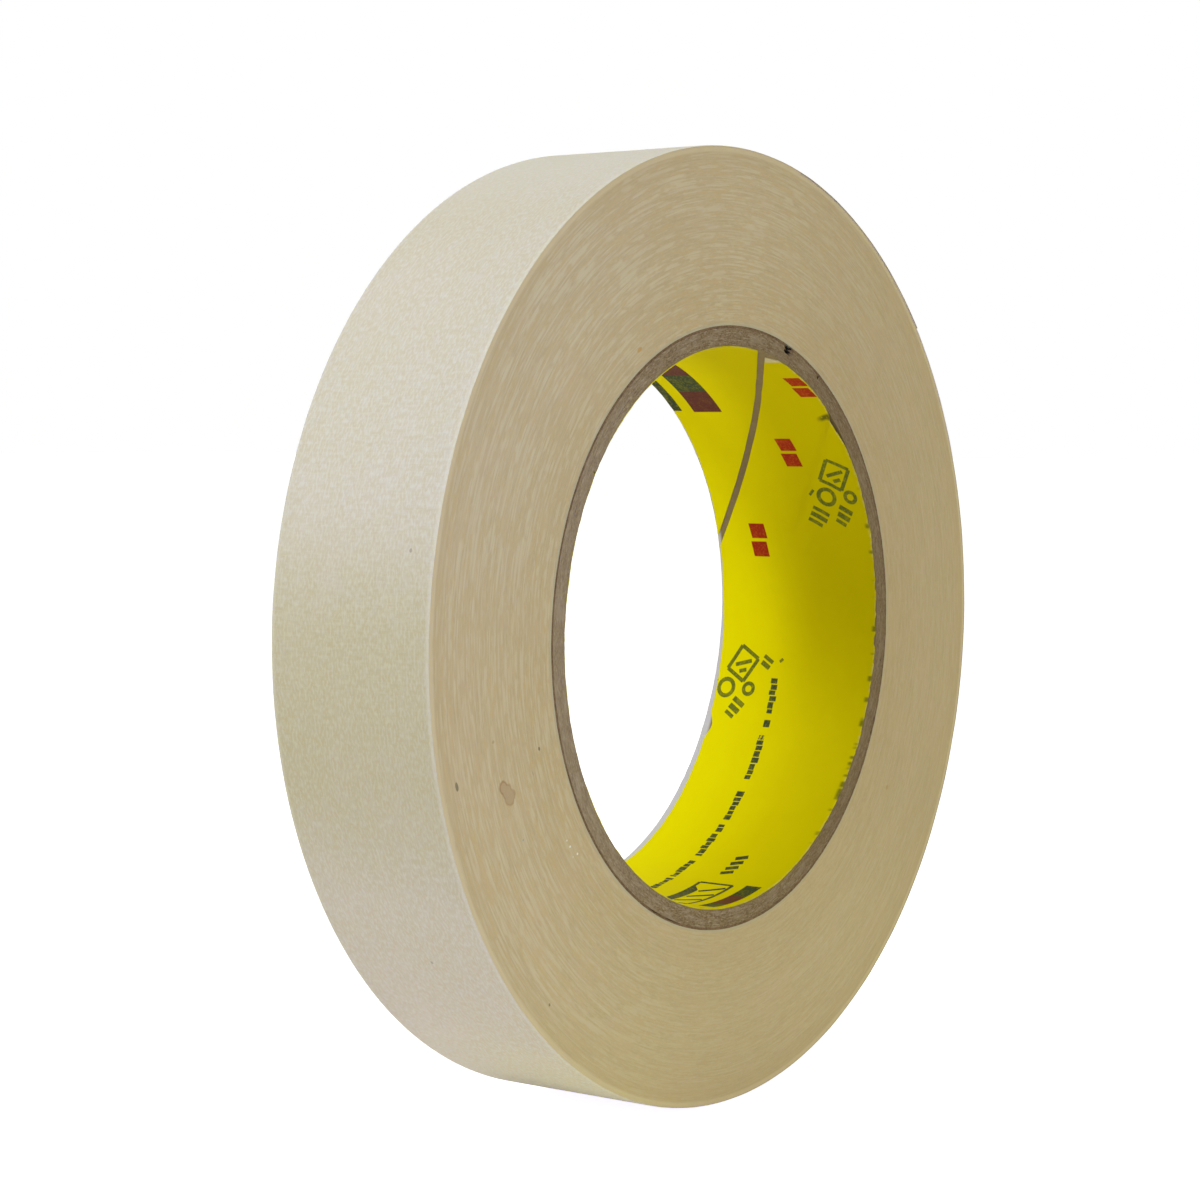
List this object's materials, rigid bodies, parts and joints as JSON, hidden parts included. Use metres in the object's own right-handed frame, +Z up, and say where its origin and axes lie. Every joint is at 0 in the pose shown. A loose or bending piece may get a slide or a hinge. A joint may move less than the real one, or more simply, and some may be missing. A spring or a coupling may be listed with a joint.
{
  "type": "masking tape roll",
  "caption": "Roll of pale crepe paper masking tape on a spiral-wound board core with a bright printed paper liner; the free end of the tape peels back from the roll.",
  "frame": {"origin": "on the roll's axis, in the bore, midway between the two side faces of the tape", "axes": "+Y along the axis, towards the side where the core stands out; +Z up, with the roll standing on its rim; the free end of the tape lies at the top, on the +X side"},
  "size_m": [0.1298, 0.0278, 0.1299],
  "materials": {
    "crepe_paper": "matte",
    "adhesive": "satin",
    "liner_paper": "matte",
    "core_board": "matte",
    "core_wrap_paper": "matte",
    "red_ink": "matte",
    "dark_ink": "matte"
  },
  "bodies": {
    "roll": {"core_liner": "liner_paper", "core_ply_1": "core_board", "core_ply_2": "core_board", "core_ply_3": "core_board", "core_ply_4": "core_board", "core_ply_5": "core_board", "core_wrap": "core_wrap_paper", "wound_tape": "crepe_paper"},
    "tail": {"tail_paper": "crepe_paper", "tail_adhesive": "adhesive"}
  },
  "joints": [
    {"name": "tail_peel", "type": "hinge", "parent": "roll", "child": "tail", "pos_m": [0.01685, 0, 0.06282], "axis": [0, -1, 0], "range_deg": [0, 120]}
  ]
}
